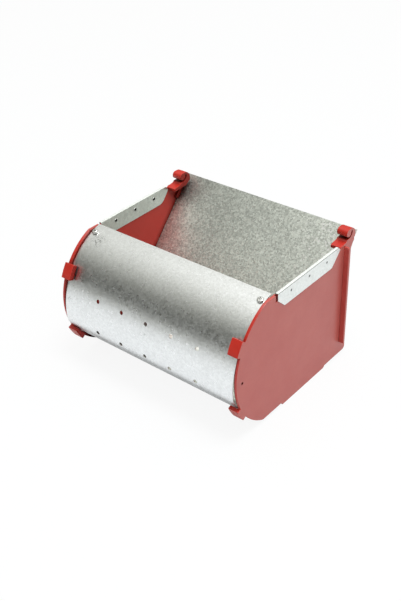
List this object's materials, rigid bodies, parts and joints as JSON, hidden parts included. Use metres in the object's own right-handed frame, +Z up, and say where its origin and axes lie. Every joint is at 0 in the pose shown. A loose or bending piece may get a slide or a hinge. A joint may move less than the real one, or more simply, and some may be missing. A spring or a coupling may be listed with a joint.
{
  "type": "rabbit feeder",
  "caption": "Hang-on rabbit feeder: a bent sheet-metal feed trough between two moulded end cheeks with wire hooks, stop ribs and metal-edged rims.",
  "frame": {"origin": "middle of the object's footprint, on the plane that its feet stand on", "axes": "+X from the left cheek to the right cheek, +Y from the round front to the cage side with the hooks, +Z up"},
  "size_m": [0.2624, 0.224, 0.1641],
  "materials": {
    "galvanised_sheet": "spangled zinc, satin",
    "red_plastic": "moulded, satin",
    "galvanised_strip": "zinc coated, satin",
    "zinc_screw": "bright zinc plate"
  },
  "bodies": {
    "root": {"trough": "galvanised_sheet", "left_cheek": "red_plastic", "right_cheek": "red_plastic", "left_edge_strip": "galvanised_strip", "right_edge_strip": "galvanised_strip", "screws": "zinc_screw"}
  },
  "joints": []
}
